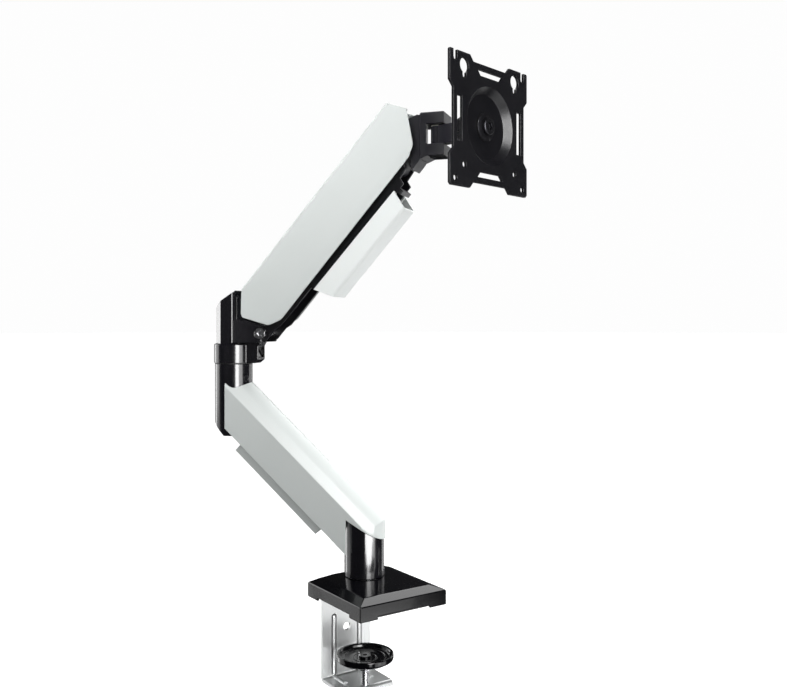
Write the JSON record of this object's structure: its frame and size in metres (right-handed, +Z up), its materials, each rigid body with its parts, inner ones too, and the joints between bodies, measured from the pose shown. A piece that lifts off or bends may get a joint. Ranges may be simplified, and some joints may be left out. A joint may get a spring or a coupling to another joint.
{
  "type": "monitor arm",
  "caption": "Clamp-on monitor arm with a swivelling lower arm, gas-spring upper arm on a levelling linkage, and a tilting, turning plate for a screen.",
  "frame": {"origin": "on the post axis, at the underside of the base where it rests on the desk", "axes": "+Z up, -Y towards the person who faces the screen, +X to that person's right"},
  "size_m": [0.216, 0.2566, 0.6514],
  "materials": {
    "black_gloss": "moulded black plastic, glossy",
    "black_casting": "die-cast aluminium with a black gloss coat",
    "satin_casting": "die-cast aluminium with a black satin coat",
    "black_satin": "black powder coat, satin",
    "white_cover": "white moulded plastic, satin",
    "grey_cover": "pale grey moulded plastic, satin",
    "zinc": "zinc plated pressed steel",
    "bright_steel": "bright turned steel",
    "black_steel": "black oxide fasteners",
    "bearing_plastic": "plain acetal bearing plastic",
    "foam": "thin EVA foam",
    "black_plastic": "black moulded plastic"
  },
  "bodies": {
    "root": {"base_cover": "black_gloss", "desk_pad": "foam", "base_plate": "zinc", "post_stub": "bright_steel", "post_screws": "black_steel", "rotation_stop_pin": "bright_steel", "clamp_bracket": "zinc", "clamp_nut": "zinc"},
    "clamp_pad": {"clamp_pad": "black_gloss"},
    "clamp_screw": {"clamp_screw": "bright_steel", "clamp_knob": "black_plastic", "pad_screw": "bright_steel"},
    "lower_arm": {"lower_arm_frame": "black_casting", "post_liner": "bearing_plastic", "base_grub_screw": "black_steel", "elbow_grub_screw": "black_steel", "elbow_bushes": "bearing_plastic", "lower_arm_cover": "white_cover", "lower_cable_cover": "grey_cover"},
    "elbow": {"elbow_casting": "black_casting", "elbow_washer": "black_plastic", "elbow_spindle": "bright_steel", "spindle_retainer": "black_steel", "main_pivot_pin": "bright_steel", "link_pivot_pin": "bright_steel", "strut_anchor_pin": "bright_steel"},
    "upper_arm": {"upper_arm_channel": "black_satin", "upper_arm_cover": "white_cover", "cover_screws": "black_steel", "strut_cylinder": "black_satin"},
    "strut_rod": {"strut_rod": "bright_steel"},
    "tension_block": {"tension_block": "zinc"},
    "tension_screw": {"tension_screw": "black_steel"},
    "lower_link": {"lower_link_channel": "black_satin", "upper_cable_cover": "white_cover"},
    "head": {"head_casting": "satin_casting", "head_pivot_pin": "bright_steel", "head_link_pin": "bright_steel", "swivel_bolt": "black_steel", "swivel_nut": "black_steel"},
    "swivel": {"swivel_knuckle": "satin_casting", "swivel_washers": "bearing_plastic"},
    "tilt": {"tilt_bracket": "black_satin", "tilt_bolt": "black_steel", "tilt_nut": "black_steel", "tilt_washers": "bearing_plastic", "rear_friction_disc": "black_plastic", "friction_disc": "black_plastic", "cup_washer": "black_steel", "centre_bolt": "black_steel"},
    "plate": {"vesa_plate": "black_satin"}
  },
  "joints": [
    {"name": "base_swivel", "type": "hinge", "parent": "root", "child": "lower_arm", "pos_m": [0, 0, 0.03], "axis": [0, 0, 1], "range_deg": [-16.5, 289.5]},
    {"name": "elbow_swivel", "type": "hinge", "parent": "lower_arm", "child": "elbow", "pos_m": [-0.09107, 0.09638, 0.22], "axis": [0, 0, 1], "continuous": true},
    {"name": "arm_lift", "type": "hinge", "parent": "elbow", "child": "upper_arm", "pos_m": [-0.07134, 0.07043, 0.2792], "axis": [-0.7961, -0.6052, 0], "range_deg": [-84, 4]},
    {"name": "lower_link_swing", "type": "hinge", "parent": "elbow", "child": "lower_link", "pos_m": [-0.06867, 0.06693, 0.2495], "axis": [-0.7961, -0.6052, 0], "range_deg": [-84.5, 4.5]},
    {"name": "head_level", "type": "hinge", "parent": "upper_arm", "child": "head", "pos_m": [0.01038, -0.03707, 0.43345], "axis": [-0.7961, -0.6052, 0], "range_deg": [-4.5, 84.5]},
    {"name": "strut_stroke", "type": "slide", "parent": "upper_arm", "child": "strut_rod", "axis": [0.3986, -0.5244, 0.7524], "range_m": [-0.0011, 0.019]},
    {"name": "tension_turn", "type": "hinge", "parent": "upper_arm", "child": "tension_screw", "pos_m": [-0.00437, -0.01767, 0.40561], "axis": [-0.4553, 0.599, 0.6587], "range_deg": [-1090, 1090]},
    {"name": "tension_travel", "type": "slide", "parent": "upper_arm", "child": "tension_block", "axis": [-0.4553, 0.599, 0.6587], "range_m": [-0.003, 0.003]},
    {"name": "head_swivel", "type": "hinge", "parent": "head", "child": "swivel", "pos_m": [0.03493, -0.06937, 0.43093], "axis": [0, 0, 1], "range_deg": [-56, 102]},
    {"name": "head_tilt", "type": "hinge", "parent": "swivel", "child": "tilt", "pos_m": [0.04419, -0.10519, 0.43093], "axis": [0.9682, 0.2502, 0], "range_deg": [-45, 45]},
    {"name": "plate_turn", "type": "hinge", "parent": "tilt", "child": "plate", "pos_m": [0.04869, -0.12262, 0.43093], "axis": [0.2502, -0.9682, 0], "continuous": true},
    {"name": "clamp_travel", "type": "slide", "parent": "root", "child": "clamp_pad", "axis": [0, 0, 1], "range_m": [-0.013, 0.045]},
    {"name": "clamp_turn", "type": "hinge", "parent": "clamp_pad", "child": "clamp_screw", "pos_m": [0, -0.001, -0.1], "axis": [0, 0, 1], "range_deg": [-3750, 12970]}
  ],
  "couplings": [
    {"joint": "lower_link_swing", "follows": "arm_lift", "ratio": 1},
    {"joint": "head_level", "follows": "arm_lift", "ratio": -1},
    {"joint": "strut_stroke", "follows": "arm_lift", "m_per_rad": -0.01278},
    {"joint": "tension_turn", "follows": "tension_travel", "rad_per_m": -6283.2},
    {"joint": "clamp_turn", "follows": "clamp_travel", "rad_per_m": 5026.6}
  ]
}
